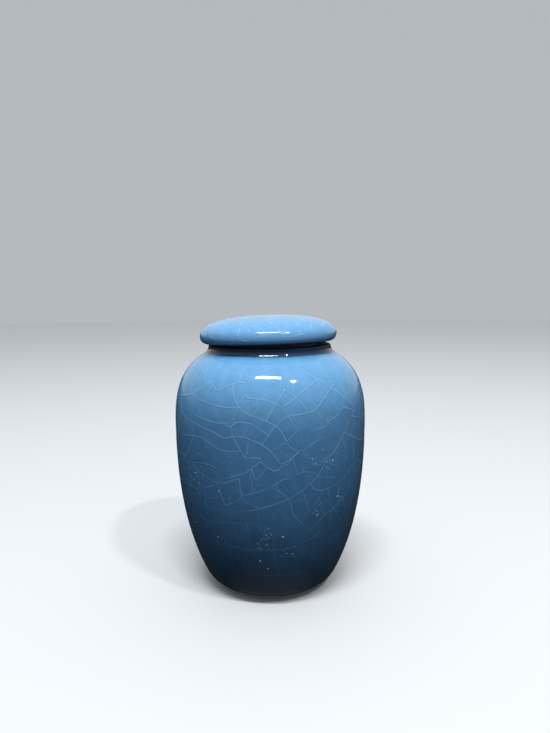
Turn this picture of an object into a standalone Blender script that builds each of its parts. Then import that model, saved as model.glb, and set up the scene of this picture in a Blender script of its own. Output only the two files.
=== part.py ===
"""A small lidded keepsake urn in blue crackle-glazed stoneware.

Two turned pieces: a hollow jar that stands on a low foot ring, and a hollow lid that rests on the
jar's rim, a little askew, and is centred, with some play, by a ring that reaches into the neck.
The origin is on the axis, on the surface that the urn stands on. Lengths are in metres, +Z is up.
"""

import math

import bmesh
import bpy
import numpy as np

MM = 0.001

# Jar, outside, from the ground up
FOOT_R = 21.5 * MM  # outer radius of the foot ring
FOOT_WIDTH = 3.4 * MM  # width of the flat that touches the ground
FOOT_H = 1.6 * MM  # height of the foot ring, up to the start of the heel
FOOT_RECESS = 1.6 * MM  # how far the underside lies above the ground inside the ring
HEEL_R = 27.9 * MM  # radius where the rounded heel ends and the wall begins
HEEL_H = 4.0 * MM  # height of the heel above the foot ring
BELLY_R = 39.0 * MM  # widest radius
BELLY_H = 60.4 * MM  # from the top of the heel up to the widest point
WALL_POWER = 2.2  # fullness of the curve from heel to belly, 2 is an ellipse
SHOULDER_H = 33.5 * MM  # height that the shoulder's curve would reach at the axis
SHOULDER_POWER = 2.9  # fullness of the shoulder's curve
NECK_R = 25.1 * MM  # outer radius of the neck at the rim
NECK_FLARE = 3.1 * MM  # how much wider the neck is where it grows out of the shoulder
NECK_H = 4.53 * MM  # height of the flared neck, from the shoulder up to the rim
NECK_LEAN = math.radians(85.0)  # steepness of the neck's outside at the rim
NECK_HUG = 0.75  # how closely the flare hugs the corner between shoulder and neck, up to 1

# Jar, inside
WALL = 4.0 * MM  # thickness of the wall, square to its surface
NECK_WALL = 4.9 * MM  # thickness of the neck at the rim
BORE_H = 6.0 * MM  # height of the straight bore below the rim
RIM_ROUND = 1.0 * MM  # rounding of the rim's two edges
FLOOR = 4.4 * MM  # thickness of the floor above the recess
BOWL_H = 9.0 * MM  # height over which the inside wall rounds into the floor
BOWL_POWER = 2.6  # fullness of that rounding

# Lid
LID_OVERHANG = 2.8 * MM  # how far the widest point reaches past the neck
LID_RISE = 8.15 * MM  # from the widest point up to the top
LID_POWER = 2.4  # fullness of the top
LID_EDGE = 2.7 * MM  # radius of the rounding under the widest point
LID_WALL = 3.8 * MM  # thickness of the top above the hollow
RING_DEPTH = 5.0 * MM  # how far the locating ring reaches below the seat
RING_WALL = 3.4 * MM  # thickness of the locating ring
RING_ROUND = 0.8 * MM  # rounding of the ring's lower edges

# Fits
LID_PLAY = 1.1 * MM  # radial play between the locating ring and the bore
TOUCH_GAP = 0.3 * MM  # gap left where one piece rests on the other
LID_SLIDE = 0.47  # share of the play by which the lid has slid towards -X
LID_TILT = math.radians(1.3)  # how far the lid's +X side is raised

# Roundness of the faceted solids
SEGMENTS = 56
WALL_STEPS = 10
SHOULDER_STEPS = 10
NECK_STEPS = 5
HEEL_STEPS = 4
ROUND_STEPS = 3
BOWL_STEPS = 5
LID_STEPS = 12
SHARP_ANGLE = math.radians(40.0)
MERGE = 0.001 * MM

# Places worked out from the sizes
SHOULDER_END_R = NECK_R + NECK_FLARE
HEEL_Z = FOOT_H + HEEL_H
BELLY_Z = HEEL_Z + BELLY_H
SHOULDER_END_Z = BELLY_Z + SHOULDER_H * (1 - (SHOULDER_END_R / BELLY_R) ** SHOULDER_POWER) ** (
    1 / SHOULDER_POWER
)
RIM_Z = SHOULDER_END_Z + NECK_H
BORE_R = NECK_R - NECK_WALL
FLOOR_Z = FOOT_RECESS + FLOOR
LID_R = NECK_R + LID_OVERHANG
RING_R = BORE_R - LID_PLAY
# The middle of the lid's seat stands high enough for its low side to clear the rim.
SEAT_Z = RIM_Z + TOUCH_GAP + NECK_R * math.sin(LID_TILT)

GLAZE_BLUE = (0.085, 0.235, 0.44)
GLAZE_ROUGHNESS = 0.12


def superellipse(turns, radius, height, power):
    """Points of a superellipse quarter: at turn 0 they lie at the radius, at turn pi/2 on the axis."""
    across = radius * np.cos(turns) ** (2 / power)
    along = height * np.sin(turns) ** (2 / power)
    return across, along


def turn_at(radius_share, power):
    """The turn at which a superellipse has shrunk to this share of its radius."""
    return math.acos(radius_share ** (power / 2))


def bezier(ends, handles, steps):
    """Points of a cubic Bezier curve, both ends included."""
    t = np.linspace(0, 1, steps + 1)[:, None]
    a, d = np.array(ends, float)
    b, c = np.array(handles, float)
    return (1 - t) ** 3 * a + 3 * (1 - t) ** 2 * t * b + 3 * (1 - t) * t**2 * c + t**3 * d


def arc(centre, radius, start, end, steps):
    """Points of a circular arc in the profile's plane, both ends included, angles in degrees."""
    turn = np.radians(np.linspace(start, end, steps + 1))
    return np.stack([centre[0] + radius * np.cos(turn), centre[1] + radius * np.sin(turn)], 1)


def wall_curve():
    """The jar's outside from the top of the heel up to the belly."""
    height = BELLY_H / (1 - (HEEL_R / BELLY_R) ** WALL_POWER) ** (1 / WALL_POWER)
    turns = np.linspace(turn_at(HEEL_R / BELLY_R, WALL_POWER), 0, WALL_STEPS + 1)
    across, along = superellipse(turns, BELLY_R, height, WALL_POWER)
    return np.stack([across, BELLY_Z - along], 1)


def shoulder_curve():
    """The jar's outside from the belly up to where the shoulder turns into the neck."""
    last = turn_at(SHOULDER_END_R / BELLY_R, SHOULDER_POWER)
    turns = np.linspace(0, last, SHOULDER_STEPS + 1)
    across, along = superellipse(turns, BELLY_R, SHOULDER_H, SHOULDER_POWER)
    return np.stack([across, BELLY_Z + along], 1)


def superellipse_slope(point_r, point_h, radius, height, power):
    """Unit direction of a superellipse at a point, towards its axis and away from its widest line."""
    inward = point_h ** (power - 1) / height**power
    upward = point_r ** (power - 1) / radius**power
    size = math.hypot(inward, upward)
    return np.array([-inward, upward]) / size


def neck_curve():
    """The hollow flare from the shoulder up to the rim's outer edge."""
    start = np.array([SHOULDER_END_R, SHOULDER_END_Z])
    end = np.array([NECK_R, RIM_Z - RIM_ROUND])
    leave = superellipse_slope(
        SHOULDER_END_R, SHOULDER_END_Z - BELLY_Z, BELLY_R, SHOULDER_H, SHOULDER_POWER
    )
    arrive = np.array([-math.cos(NECK_LEAN), math.sin(NECK_LEAN)])
    across, up = end - start
    reach = (across * arrive[1] - up * arrive[0]) / (leave[0] * arrive[1] - leave[1] * arrive[0])
    corner = start + leave * reach
    handles = (start + (corner - start) * NECK_HUG, end + (corner - end) * NECK_HUG)
    return bezier((start, end), handles, NECK_STEPS)


def heel_curve():
    """The rounded heel from the foot ring out to the wall."""
    start = np.array([FOOT_R, FOOT_H])
    end = np.array([HEEL_R, HEEL_Z])
    height = BELLY_H / (1 - (HEEL_R / BELLY_R) ** WALL_POWER) ** (1 / WALL_POWER)
    rise = superellipse_slope(HEEL_R, BELLY_H, BELLY_R, height, WALL_POWER) * (-1, 1)
    corner = np.array([HEEL_R - rise[0] / rise[1] * HEEL_H, FOOT_H])
    handles = (start + (corner - start) * 2 / 3, end + (corner - end) * 2 / 3)
    return bezier((start, end), handles, HEEL_STEPS)


def inset(points, depth):
    """The points moved square to their line, to its left, by the depth."""
    along = np.gradient(points, axis=0)
    along /= np.linalg.norm(along, axis=1)[:, None]
    return points + np.stack([-along[:, 1], along[:, 0]], 1) * depth


def inside_curve():
    """The jar's inside from where it has rounded out of the floor up to the foot of the straight bore."""
    outside = np.concatenate([wall_curve()[:-1], shoulder_curve()[:-1], neck_curve()])
    inside = inset(outside, WALL)
    low = FLOOR_Z + BOWL_H
    high = RIM_Z - BORE_H
    kept = inside[(inside[:, 1] > low) & (inside[:, 1] < high) & (inside[:, 0] > BORE_R)][1::2]
    start = (np.interp(low, inside[:, 1], inside[:, 0]), low)
    return np.concatenate([[start], kept, [(BORE_R, high)]])


def jar_profile():
    """The jar's whole outline, from the middle of the floor over the rim to the middle underneath."""
    inside = inside_curve()
    turns = np.linspace(math.pi / 2, 0, BOWL_STEPS + 1)
    across, along = superellipse(turns, inside[0, 0], BOWL_H, BOWL_POWER)
    bowl = np.stack([across, FLOOR_Z + BOWL_H - along], 1)
    bowl[0] = (0.0, FLOOR_Z)
    rim = np.concatenate(
        [
            arc((BORE_R + RIM_ROUND, RIM_Z - RIM_ROUND), RIM_ROUND, 180, 90, ROUND_STEPS),
            arc((NECK_R - RIM_ROUND, RIM_Z - RIM_ROUND), RIM_ROUND, 90, 0, ROUND_STEPS)[:-1],
        ]
    )
    outside = np.concatenate([neck_curve()[::-1], shoulder_curve()[-2::-1], wall_curve()[-2::-1]])
    inner_r = FOOT_R - FOOT_WIDTH
    recess_r = inner_r - FOOT_RECESS
    foot = [(FOOT_R, 0.0), (inner_r, 0.0), (recess_r, FOOT_RECESS), (0.0, FOOT_RECESS)]
    return np.concatenate([bowl[:-1], inside, rim, outside, heel_curve()[-2::-1], foot])


def lid_profile():
    """The lid's whole outline, from the middle of its top over the edge to the middle of its hollow.

    Heights are from the flat seat.
    """
    top_turns = np.linspace(math.pi / 2, 0, LID_STEPS + 1)
    across, along = superellipse(top_turns, LID_R, LID_RISE, LID_POWER)
    top = np.stack([across, LID_EDGE + along], 1)
    top[0] = (0.0, LID_EDGE + LID_RISE)
    edge = arc((LID_R - LID_EDGE, LID_EDGE), LID_EDGE, 0, -90, ROUND_STEPS + 1)[1:]
    ring_low = RING_ROUND - RING_DEPTH
    ring_inner = RING_R - RING_WALL
    ring = np.concatenate(
        [
            [(RING_R, 0.0)],
            arc((RING_R - RING_ROUND, ring_low), RING_ROUND, 0, -90, ROUND_STEPS),
            arc((ring_inner + RING_ROUND, ring_low), RING_ROUND, -90, -180, ROUND_STEPS),
        ]
    )
    # The hollow's ceiling follows the top, one wall below it.
    hollow_rise = LID_RISE - LID_WALL
    hollow_turns = np.linspace(0, math.pi / 2, ROUND_STEPS + 1)
    across, along = superellipse(hollow_turns, ring_inner, hollow_rise, LID_POWER)
    hollow = np.stack([across, LID_EDGE + along], 1)
    hollow[-1] = (0.0, LID_EDGE + hollow_rise)
    return np.concatenate([top, edge, ring, hollow])


def glaze(name):
    """The blue glaze."""
    made = bpy.data.materials.new(name)
    made.use_nodes = True
    shader = made.node_tree.nodes["Principled BSDF"]
    shader.inputs["Base Color"].default_value = (*GLAZE_BLUE, 1.0)
    shader.inputs["Roughness"].default_value = GLAZE_ROUGHNESS
    shader.inputs["Metallic"].default_value = 0.0
    made.diffuse_color = (*GLAZE_BLUE, 1.0)
    return made


def turned(name, profile, material):
    """A solid turned about the Z axis from an outline whose two ends lie on that axis."""
    shape = bmesh.new()
    points = [shape.verts.new((r, 0.0, z)) for r, z in profile]
    edges = [shape.edges.new(pair) for pair in zip(points, points[1:])]
    bmesh.ops.spin(
        shape, geom=points + edges, axis=(0, 0, 1), angle=math.tau, steps=SEGMENTS, use_merge=True
    )
    bmesh.ops.remove_doubles(shape, verts=shape.verts, dist=MERGE)
    bmesh.ops.recalc_face_normals(shape, faces=shape.faces)
    mesh = bpy.data.meshes.new(name)
    shape.to_mesh(mesh)
    shape.free()
    mesh.materials.append(material)
    mesh.shade_smooth()
    mesh.set_sharp_from_angle(angle=SHARP_ANGLE)
    made = bpy.data.objects.new(name, mesh)
    bpy.context.scene.collection.objects.link(made)
    return made


def main():
    """Builds the jar and its lid in an empty scene."""
    for old in list(bpy.data.objects):
        bpy.data.objects.remove(old)
    jar = turned("jar", jar_profile(), glaze("jar_glaze"))
    lid = turned("lid", lid_profile(), glaze("lid_glaze"))
    lid.location = (-LID_SLIDE * LID_PLAY, 0.0, SEAT_Z)
    lid.rotation_euler.y = -LID_TILT
    lid.parent = jar


main()
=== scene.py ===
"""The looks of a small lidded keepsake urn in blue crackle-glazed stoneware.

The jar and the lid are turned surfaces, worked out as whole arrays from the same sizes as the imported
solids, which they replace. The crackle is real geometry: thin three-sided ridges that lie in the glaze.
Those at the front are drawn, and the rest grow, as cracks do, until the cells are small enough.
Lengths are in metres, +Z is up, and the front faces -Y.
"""

import logging
import math
from dataclasses import dataclass, field, replace
from enum import Enum

import bmesh
import bpy
import numpy as np
from mathutils import Matrix, Vector


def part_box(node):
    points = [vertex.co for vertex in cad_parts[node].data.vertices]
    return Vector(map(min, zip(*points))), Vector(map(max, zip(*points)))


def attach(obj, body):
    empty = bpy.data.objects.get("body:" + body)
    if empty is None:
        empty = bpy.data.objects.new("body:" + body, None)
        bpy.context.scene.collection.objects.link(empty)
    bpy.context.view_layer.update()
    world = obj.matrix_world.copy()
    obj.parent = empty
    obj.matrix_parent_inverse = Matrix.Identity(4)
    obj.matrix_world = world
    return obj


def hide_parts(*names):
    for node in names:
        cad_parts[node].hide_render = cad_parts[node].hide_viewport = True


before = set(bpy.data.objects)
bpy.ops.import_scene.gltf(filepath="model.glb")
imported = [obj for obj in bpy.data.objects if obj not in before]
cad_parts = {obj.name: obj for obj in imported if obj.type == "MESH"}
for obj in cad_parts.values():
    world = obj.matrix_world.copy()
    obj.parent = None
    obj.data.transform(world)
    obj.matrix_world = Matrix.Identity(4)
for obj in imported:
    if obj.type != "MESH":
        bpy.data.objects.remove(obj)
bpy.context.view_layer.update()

Array = np.ndarray
Pixel = tuple[float, float]
Colour = tuple[float, float, float]
log = logging.getLogger("urn")

MM = 0.001
# Depth of the glaze's own surface below the solids' outline, so that what stands proud stays inside it.
GLAZE_SINK = 0.065 * MM


def unit(vectors: Array) -> Array:
    """Scales each row to length one.

    Args:
        vectors: Rows of any width.

    Returns:
        The rows, each divided by its own length.
    """
    return vectors / np.maximum(np.linalg.norm(vectors, axis=-1, keepdims=True), 1e-12)


def lengths_along(line: Array) -> Array:
    """Distance of each point of a line from its first one, along the line.

    Args:
        line: The line's points, one a row.

    Returns:
        The running sum of the lengths of its pieces, starting at 0.
    """
    return np.concatenate([[0.0], np.cumsum(np.linalg.norm(np.diff(line, axis=0), axis=1))])


def evenly(line: Array, step: float) -> Array:
    """Spreads points evenly along a line.

    Args:
        line: The line's points, one a row.
        step: About how far apart the new points lie.

    Returns:
        New points, at equal distances along the line, the two ends included.
    """
    along = lengths_along(line)
    count = max(2, round(along[-1] / step) + 1)
    at = np.linspace(0, along[-1], count)
    return np.stack([np.interp(at, along, column) for column in line.T], 1)


def smooth_through(knots: Array, step: float) -> Array:
    """A smooth line through a few points.

    Each piece is the cubic that leaves a knot along the chord between its two neighbours.

    Args:
        knots: The points that the line passes through.
        step: About how far apart the line's own points lie.

    Returns:
        The line's points, at equal distances.
    """
    padded = np.concatenate([[2 * knots[0] - knots[1]], knots, [2 * knots[-1] - knots[-2]]])
    t = np.linspace(0, 1, 9)[:, None]
    before, start, end, after = (padded[i : len(padded) - 3 + i, None] for i in range(4))
    leave, arrive = (end - before) / 2, (after - start) / 2
    pieces = (
        start * (2 * t**3 - 3 * t**2 + 1)
        + leave * (t**3 - 2 * t**2 + t)
        + end * (3 * t**2 - 2 * t**3)
        + arrive * (t**3 - t**2)
    )
    return evenly(np.concatenate([pieces[:, :-1].reshape(-1, knots.shape[1]), knots[-1:]]), step)


def superellipse(turns: Array, radius: float, height: float, power: float) -> Array:
    """Points of a superellipse quarter.

    Across is the radius times the cosine raised to 2 over the power, and along is the height times the
    sine raised likewise, so a power of 2 is an ellipse and a higher one is fuller.

    Args:
        turns: Angles from 0, at the radius, to a quarter turn, at the axis.
        radius: Half width of the curve.
        height: Height of the curve.
        power: Its fullness.

    Returns:
        Across and along, one point a row.
    """
    return np.stack(
        [radius * np.cos(turns) ** (2 / power), height * np.sin(turns) ** (2 / power)], 1
    )


def arc(centre: Pixel, radius: float, start: float, end: float, steps: int) -> Array:
    """Points of a circular arc in the outline's plane.

    Args:
        centre: Radius and height of the arc's centre.
        radius: The arc's own radius.
        start: First angle, in degrees from outwards, turning upwards.
        end: Last angle.
        steps: Number of pieces.

    Returns:
        Radius and height of each point, both ends included.
    """
    turn = np.radians(np.linspace(start, end, steps + 1))
    return np.array(centre) + radius * np.stack([np.cos(turn), np.sin(turn)], 1)


def bezier(ends: Array, handles: Array, steps: int) -> Array:
    """Points of a cubic Bezier curve, both ends included.

    Args:
        ends: First and last point.
        handles: The two handles.
        steps: Number of pieces.

    Returns:
        One point a row.
    """
    t = np.linspace(0, 1, steps + 1)[:, None]
    return (
        (1 - t) ** 3 * ends[0]
        + 3 * (1 - t) ** 2 * t * handles[0]
        + 3 * (1 - t) * t**2 * handles[1]
        + t**3 * ends[1]
    )


@dataclass(frozen=True)
class GlazeRelief:
    """The slight unevenness of a cast and glazed surface, as a sum of a few slow waves in space."""

    depth: float = 0.035 * MM
    wavelengths: tuple[float, ...] = (46 * MM, 31 * MM, 22 * MM, 15 * MM, 11 * MM)
    waves_each: int = 4
    seed: int = 11

    def at(self, spots: Array) -> Array:
        """How far the surface lies below its outline.

        Each wave is the sine of a random direction's dot product with the place. Longer waves are
        higher, and the sum is shifted and cut so that it stays between 0 and the depth.

        Args:
            spots: Places on the outline's surface, one a row.

        Returns:
            A depth for each place.
        """
        random = np.random.default_rng(self.seed)
        total = np.zeros(len(spots))
        weight = 0.0
        for wavelength in self.wavelengths:
            share = wavelength / self.wavelengths[0]
            for _ in range(self.waves_each):
                direction = unit(random.normal(size=3))
                phase = random.uniform(0, math.tau)
                total += share * np.sin(spots @ direction * math.tau / wavelength + phase)
                weight += share**2 / 2
        return self.depth * np.clip(0.5 + 0.22 * total / math.sqrt(weight), 0, 1)


@dataclass(frozen=True)
class Pose:
    """Where a turned piece stands: its axis crosses Y = 0 at x and z, and its +X side is raised."""

    x: float = 0.0
    z: float = 0.0
    tilt: float = 0.0

    @property
    def turn(self) -> Array:
        """The turn about Y, whose columns are the piece's own directions."""
        cos, sin = math.cos(self.tilt), math.sin(self.tilt)
        return np.array([[cos, 0.0, -sin], [0.0, 1.0, 0.0], [sin, 0.0, cos]])

    def placed(self, spots: Array) -> Array:
        """Spots of the piece's own frame, turned and moved to where it stands."""
        return spots @ self.turn.T + np.array([self.x, 0.0, self.z])

    def unplaced(self, spots: Array) -> Array:
        """Spots in space, in the piece's own frame."""
        return (spots - np.array([self.x, 0.0, self.z])) @ self.turn


class TurnedSurface:
    """The glazed outside of a turned piece, with a chart of two coordinates laid over it.

    The outline is read by its distance along itself. A place is two numbers, in metres, that run about
    square to each other over the surface.
    """

    def __init__(self, outline: Array, pose: Pose, relief: GlazeRelief) -> None:
        """Keeps the outline and its lengths.

        Args:
            outline: Radius and height of the glazed outside's points, in the piece's own frame.
            pose: Where the piece stands.
            relief: The unevenness of the glaze.
        """
        self.outline = outline
        self.along = lengths_along(outline)
        self.pose = pose
        self.relief = relief

    @property
    def length(self) -> float:
        """Length of the outline."""
        return float(self.along[-1])

    def radius_at(self, along: Array) -> Array:
        """The radius at a distance along the outline."""
        return np.interp(along, self.along, self.outline[:, 0])

    def polar(self, places: Array) -> tuple[Array, Array]:
        """Angle from the front, and distance along the outline, of each place."""
        raise NotImplementedError

    def place_of(self, angle: Array, along: Array) -> Array:
        """The chart's place at an angle from the front and a distance along the outline."""
        raise NotImplementedError

    def shift(self, places: Array, heading: Array, length: Array) -> Array:
        """The places reached by going straight on for a length at a heading."""
        raise NotImplementedError

    def offsets(self, place: Array, others: Array) -> Array:
        """How far the others lie from a place, in true lengths along the chart's two directions."""
        raise NotImplementedError

    def same_turn(self, place: Array, other: Array) -> Array:
        """The chart's place for the other that lies nearest to a place."""
        return other

    def outward(self, angle: Array, along: Array) -> Array:
        """Outward direction of the smooth outline, square to its own direction.

        Args:
            angle: Angle from the front.
            along: Distance along the outline.

        Returns:
            A unit vector for each place.
        """
        step = 0.2 * MM
        ahead, behind = (
            np.stack([np.interp(at, self.along, column) for column in self.outline.T], 1)
            for at in (np.minimum(along + step, self.length), np.maximum(along - step, 0))
        )
        run = unit(ahead - behind) * self.outward_sign
        return np.stack([run[:, 1] * np.sin(angle), -run[:, 1] * np.cos(angle), -run[:, 0]], 1)

    outward_sign = 1.0

    def spots(self, places: Array, lift: Array | float = 0.0) -> Array:
        """Where the chart's places lie in space.

        The outline's point turns about the axis, then sinks by the relief and rises by the lift, both
        square to the outline.

        Args:
            places: Chart coordinates, one place a row.
            lift: How far above the glaze each spot lies.

        Returns:
            One spot a row.
        """
        angle, along = self.polar(places)
        radius = self.radius_at(along)
        height = np.interp(along, self.along, self.outline[:, 1])
        smooth = np.stack([radius * np.sin(angle), -radius * np.cos(angle), height], 1)
        rise = np.asarray(lift) - GLAZE_SINK - self.relief.at(smooth)
        return self.pose.placed(smooth + self.outward(angle, along) * rise[:, None])


class WallSurface(TurnedSurface):
    """A tall turned wall: the chart is unrolled from it, measured at its widest radius."""

    def __init__(self, outline: Array, pose: Pose, relief: GlazeRelief) -> None:
        """Takes an outline that runs upwards."""
        super().__init__(outline, pose, relief)
        self.widest = float(outline[:, 0].max())

    def polar(self, places: Array) -> tuple[Array, Array]:
        """The first coordinate is an arc at the widest radius, the second lies along the outline."""
        return places[:, 0] / self.widest, np.clip(places[:, 1], 0, self.length)

    def place_of(self, angle: Array, along: Array) -> Array:
        """The chart's place at an angle and a distance along the outline."""
        return np.stack([angle * self.widest, along], 1)

    def shift(self, places: Array, heading: Array, length: Array) -> Array:
        """Goes straight on, with the step across stretched where the wall is narrower."""
        narrow = self.radius_at(places[:, 1]) / self.widest
        run = np.empty_like(places)
        run[:, 0] = length * np.cos(heading) / np.maximum(narrow, 0.2)
        run[:, 1] = length * np.sin(heading)
        return places + run

    def offsets(self, place: Array, others: Array) -> Array:
        """Offsets the short way round the wall."""
        round_trip = math.tau * self.widest
        across = (others[:, 0] - place[0] + round_trip / 2) % round_trip - round_trip / 2
        narrow = self.radius_at(place[1]) / self.widest
        return np.stack([across * narrow, others[:, 1] - place[1]], 1)

    def same_turn(self, place: Array, other: Array) -> Array:
        """Takes whole turns round the wall off the other, or adds them."""
        round_trip = math.tau * self.widest
        turns = round((place[0] - other[0]) / round_trip)
        return other + np.array([turns * round_trip, 0.0])


class CapSurface(TurnedSurface):
    """A shallow turned cap: the chart is laid flat from its top, measured along the outline."""

    outward_sign = -1.0

    def polar(self, places: Array) -> tuple[Array, Array]:
        """The distance from the chart's middle is the distance along the outline from the top."""
        along = np.clip(np.hypot(places[:, 0], places[:, 1]), 0, self.length)
        return np.arctan2(places[:, 0], -places[:, 1]), along

    def place_of(self, angle: Array, along: Array) -> Array:
        """The chart's place at an angle and a distance from the top."""
        return np.stack([along * np.sin(angle), -along * np.cos(angle)], 1)

    def shift(self, places: Array, heading: Array, length: Array) -> Array:
        """Goes straight on in the flat chart."""
        run = np.empty_like(places)
        run[:, 0] = length * np.cos(heading)
        run[:, 1] = length * np.sin(heading)
        return places + run

    def offsets(self, place: Array, others: Array) -> Array:
        """Plain differences in the flat chart."""
        return others - place


@dataclass
class JarForm:
    """Sizes of the turned jar, from the ground up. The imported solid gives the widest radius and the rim."""

    belly_r: float
    rim_z: float
    foot_r: float = 21.5 * MM
    foot_width: float = 3.4 * MM
    foot_h: float = 1.6 * MM
    foot_round: float = 0.5 * MM
    foot_recess: float = 1.6 * MM
    heel_r: float = 27.9 * MM
    heel_h: float = 4.0 * MM
    belly_h: float = 60.4 * MM
    wall_power: float = 2.2
    shoulder_h: float = 33.5 * MM
    shoulder_power: float = 2.9
    neck_r: float = 25.1 * MM
    neck_flare: float = 3.1 * MM
    neck_lean: float = math.radians(85.0)
    neck_hug: float = 0.75
    wall: float = 4.0 * MM
    neck_wall: float = 4.9 * MM
    bore_h: float = 6.0 * MM
    rim_round: float = 1.0 * MM
    floor: float = 4.4 * MM
    bowl_h: float = 9.0 * MM
    bowl_power: float = 2.6
    # Height above which the neck's hollow under the lid is painted near black: painted shade from the lid,
    # where glaze also pools.
    neck_shade_z: float = 95.5 * MM
    # Finest piece of the outside's outline, and of the inside's.
    fine: float = 0.9 * MM
    coarse: float = 3.0 * MM

    @property
    def heel_z(self) -> float:
        """Height where the wall begins."""
        return self.foot_h + self.heel_h

    @property
    def belly_z(self) -> float:
        """Height of the widest point."""
        return self.heel_z + self.belly_h

    @property
    def bore_r(self) -> float:
        """Radius of the neck's straight bore."""
        return self.neck_r - self.neck_wall

    @property
    def wall_reach(self) -> float:
        """Height below the belly at which the wall's curve would reach the axis."""
        share = 1 - (self.heel_r / self.belly_r) ** self.wall_power
        return self.belly_h / share ** (1 / self.wall_power)

    @staticmethod
    def slope(radius: float, height: float, wide: float, tall: float, power: float) -> Array:
        """Direction of a superellipse at a point, inwards and away from its widest line.

        Args:
            radius: The point's radius.
            height: The point's height from the widest line.
            wide: The curve's radius.
            tall: The curve's height.
            power: The curve's fullness.

        Returns:
            A unit vector.
        """
        return unit(
            np.array([-(height ** (power - 1)) / tall**power, radius ** (power - 1) / wide**power])
        )

    def heel(self) -> Array:
        """The rounded heel: a Bezier curve that leaves the foot flat and meets the wall's own slope."""
        start = np.array([self.foot_r, self.foot_h])
        end = np.array([self.heel_r, self.heel_z])
        rise = self.slope(
            self.heel_r, self.belly_h, self.belly_r, self.wall_reach, self.wall_power
        ) * (-1, 1)
        corner = np.array([self.heel_r - rise[0] / rise[1] * self.heel_h, self.foot_h])
        handles = np.array([start + (corner - start) * 2 / 3, end + (corner - end) * 2 / 3])
        return bezier(np.array([start, end]), handles, 24)

    def side(self) -> Array:
        """The wall from the heel up to the belly: a superellipse about the belly's height."""
        last = math.acos((self.heel_r / self.belly_r) ** (self.wall_power / 2))
        curve = superellipse(
            np.linspace(last, 0, 160), self.belly_r, self.wall_reach, self.wall_power
        )
        return np.array([0, self.belly_z]) + curve * (1, -1)

    def shoulder(self) -> Array:
        """The shoulder: a fuller superellipse above the belly, up to where the neck flares out of it."""
        share = (self.neck_r + self.neck_flare) / self.belly_r
        last = math.acos(share ** (self.shoulder_power / 2))
        curve = superellipse(
            np.linspace(0, last, 120), self.belly_r, self.shoulder_h, self.shoulder_power
        )
        return np.array([0, self.belly_z]) + curve

    def neck(self) -> Array:
        """The hollow flare up to the rim's outer edge.

        It is a Bezier curve that leaves along the shoulder's slope. Its handles reach most of the way
        to the corner where its two ends' directions meet.
        """
        start = self.shoulder()[-1]
        end = np.array([self.neck_r, self.rim_z - self.rim_round])
        leave = self.slope(
            start[0],
            start[1] - self.belly_z,
            self.belly_r,
            self.shoulder_h,
            self.shoulder_power,
        )
        arrive = np.array([-math.cos(self.neck_lean), math.sin(self.neck_lean)])
        across, up = end - start
        cross = leave[0] * arrive[1] - leave[1] * arrive[0]
        corner = start + leave * (across * arrive[1] - up * arrive[0]) / cross
        handles = np.array(
            [start + (corner - start) * self.neck_hug, end + (corner - end) * self.neck_hug]
        )
        return bezier(np.array([start, end]), handles, 40)

    def glazed(self) -> Array:
        """The glazed outside, from the foot's outer side up to the rim's outer edge."""
        joined = np.concatenate(
            [self.heel(), self.side()[1:], self.shoulder()[1:], self.neck()[1:]]
        )
        return evenly(joined, self.fine / 4)

    def inside(self) -> Array:
        """The inside from the floor's middle up to the rim: the outside moved in by the wall."""
        floor_z = self.foot_recess + self.floor
        low, high = floor_z + self.bowl_h, self.rim_z - self.bore_h
        outside = np.concatenate([self.side(), self.shoulder()[1:], self.neck()[1:]])
        run = unit(np.gradient(outside, axis=0))
        moved = outside + np.stack([-run[:, 1], run[:, 0]], 1) * self.wall
        kept = moved[(moved[:, 1] > low) & (moved[:, 1] < high) & (moved[:, 0] > self.bore_r)]
        bowl = superellipse(
            np.linspace(math.pi / 2, 0, 40), kept[0, 0], self.bowl_h, self.bowl_power
        )
        bowl = np.array([0, low]) + bowl * (1, -1)
        bowl[0, 0] = 0.0
        bore = [(self.bore_r, high), (self.bore_r, self.rim_z - self.rim_round)]
        return evenly(np.concatenate([bowl, kept[3:], bore]), self.coarse)

    def rim(self) -> Array:
        """The rim from the bore over its two rounded edges."""
        middle = self.rim_z - self.rim_round
        return np.concatenate(
            [
                arc((self.bore_r + self.rim_round, middle), self.rim_round, 180, 90, 6),
                arc((self.neck_r - self.rim_round, middle), self.rim_round, 90, 0, 6),
            ]
        )

    def foot(self) -> Array:
        """The foot ring's side, its flat with two small roundings, and the recessed underside."""
        low = self.foot_round
        inner = self.foot_r - self.foot_width
        recess = inner - self.foot_recess
        return np.concatenate(
            [
                arc((self.foot_r - low, low), low, 0, -90, 4),
                arc((inner + low, low), low, -90, -150, 3),
                [(recess, self.foot_recess), (recess / 2, self.foot_recess), (0, self.foot_recess)],
            ]
        )


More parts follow.
